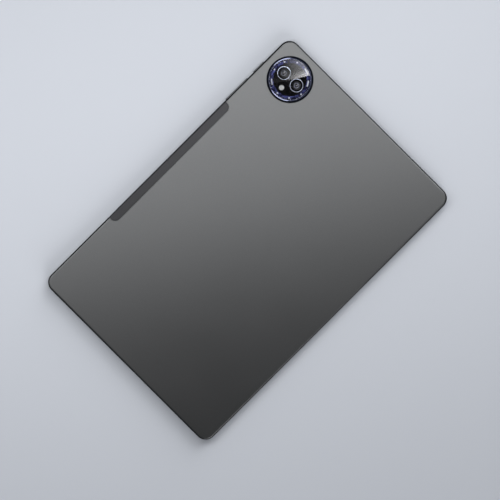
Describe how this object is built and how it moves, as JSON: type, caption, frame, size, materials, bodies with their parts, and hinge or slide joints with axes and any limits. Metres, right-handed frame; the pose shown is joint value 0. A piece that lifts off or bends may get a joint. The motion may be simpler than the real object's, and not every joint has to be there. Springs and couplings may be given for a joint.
{
  "type": "tablet computer",
  "caption": "Flat rectangular tablet computer with a satin metal back, a round glass camera disc near one corner, a plastic aerial strip, side keys, a port and a card tray.",
  "frame": {"origin": "middle of the screen glass's outer face, which the tablet lies on", "axes": "+X along the long edge to the camera end, +Y to the long edge with the keys and the aerial window, +Z out of the back"},
  "size_m": [0.256, 0.1693, 0.0089],
  "materials": {
    "anodised_grey": "satin",
    "aerial_plastic": "matte",
    "bezel_plastic": "matte",
    "screen_glass": "polished",
    "panel": "gloss",
    "backlight": "matte",
    "plate_metal": "satin",
    "cell_foil": "satin",
    "board_green": "matte",
    "can_steel": "satin",
    "contact_steel": "gloss",
    "tongue_plastic": "matte",
    "flex_amber": "satin",
    "camera_ring": "gloss",
    "camera_glass": "polished",
    "camera_plate": "satin",
    "lens_trim": "gloss",
    "lens_black": "gloss",
    "module_black": "matte",
    "flash_yellow": "satin",
    "flash_lens": "satin",
    "speaker_plastic": "matte",
    "aerial_foil": "satin"
  },
  "bodies": {
    "housing": {"rear_cover": "anodised_grey", "antenna_window": "aerial_plastic", "front_bezel": "bezel_plastic", "front_glass": "screen_glass", "display_panel": "panel", "backlight_unit": "backlight", "mid_frame": "plate_metal", "display_cable": "flex_amber", "front_camera": "module_black", "battery_cell_left": "cell_foil", "battery_cell_right": "cell_foil", "battery_board": "board_green", "battery_cable": "flex_amber", "main_board": "board_green", "processor_shield": "can_steel", "memory_shield": "can_steel", "power_shield": "can_steel", "radio_shield": "can_steel", "board_screw_1": "contact_steel", "board_screw_2": "contact_steel", "board_screw_3": "contact_steel", "board_screw_4": "contact_steel", "board_screw_5": "contact_steel", "board_screw_6": "contact_steel", "usb_port_shell": "contact_steel", "usb_port_tongue": "tongue_plastic", "microphone": "can_steel", "card_socket": "can_steel", "eject_pivot": "contact_steel", "camera_ring": "camera_ring", "camera_glass": "camera_glass", "camera_plate": "camera_plate", "main_lens_trim": "lens_trim", "second_lens_trim": "lens_trim", "main_camera_housing": "module_black", "second_camera_housing": "module_black", "second_camera_lens": "lens_black", "camera_bracket": "plate_metal", "flash_led": "flash_yellow", "flash_diffuser": "flash_lens", "camera_cable": "flex_amber", "power_switch": "contact_steel", "volume_down_switch": "contact_steel", "volume_up_switch": "contact_steel", "button_bracket": "plate_metal", "button_cable": "flex_amber", "speaker_right_upper": "speaker_plastic", "speaker_right_lower": "speaker_plastic", "speaker_left_upper": "speaker_plastic", "speaker_left_lower": "speaker_plastic", "wifi_antenna": "aerial_foil", "cellular_antenna": "aerial_foil"},
    "power_key": {"power_button": "anodised_grey"},
    "volume_key": {"volume_button": "anodised_grey"},
    "tray": {"card_tray": "anodised_grey"},
    "focus_barrel": {"main_camera_lens": "lens_black"},
    "eject_slider": {"eject_rod": "contact_steel"},
    "eject_arm": {"eject_lever": "contact_steel"}
  },
  "joints": [
    {"name": "power_press", "type": "slide", "parent": "housing", "child": "power_key", "axis": [0, -1, 0], "range_m": [0, 0.00035], "stiffness_N_per_m": 800, "springref_m": -0.0005},
    {"name": "volume_rock", "type": "hinge", "parent": "housing", "child": "volume_key", "pos_m": [0.0731, 0.0825, 0.0044], "axis": [0, 0, 1], "range_deg": [-1.4, 1.4], "stiffness_Nm_per_rad": 0.3},
    {"name": "tray_slide", "type": "slide", "parent": "housing", "child": "tray", "axis": [1, 0, 0], "range_m": [0, 0.032]},
    {"name": "focus_travel", "type": "slide", "parent": "housing", "child": "focus_barrel", "axis": [0, 0, 1], "range_m": [0, 0.0003], "stiffness_N_per_m": 60, "springref_m": -0.0001},
    {"name": "eject_push", "type": "slide", "parent": "housing", "child": "eject_slider", "axis": [-1, 0, 0], "range_m": [0, 0.0015]},
    {"name": "eject_turn", "type": "hinge", "parent": "housing", "child": "eject_arm", "pos_m": [0.0946, -0.027, 0.00475], "axis": [0, 0, 1], "range_deg": [0, 19.8]}
  ],
  "couplings": [
    {"joint": "eject_turn", "follows": "eject_push", "rad_per_m": 228.6}
  ]
}
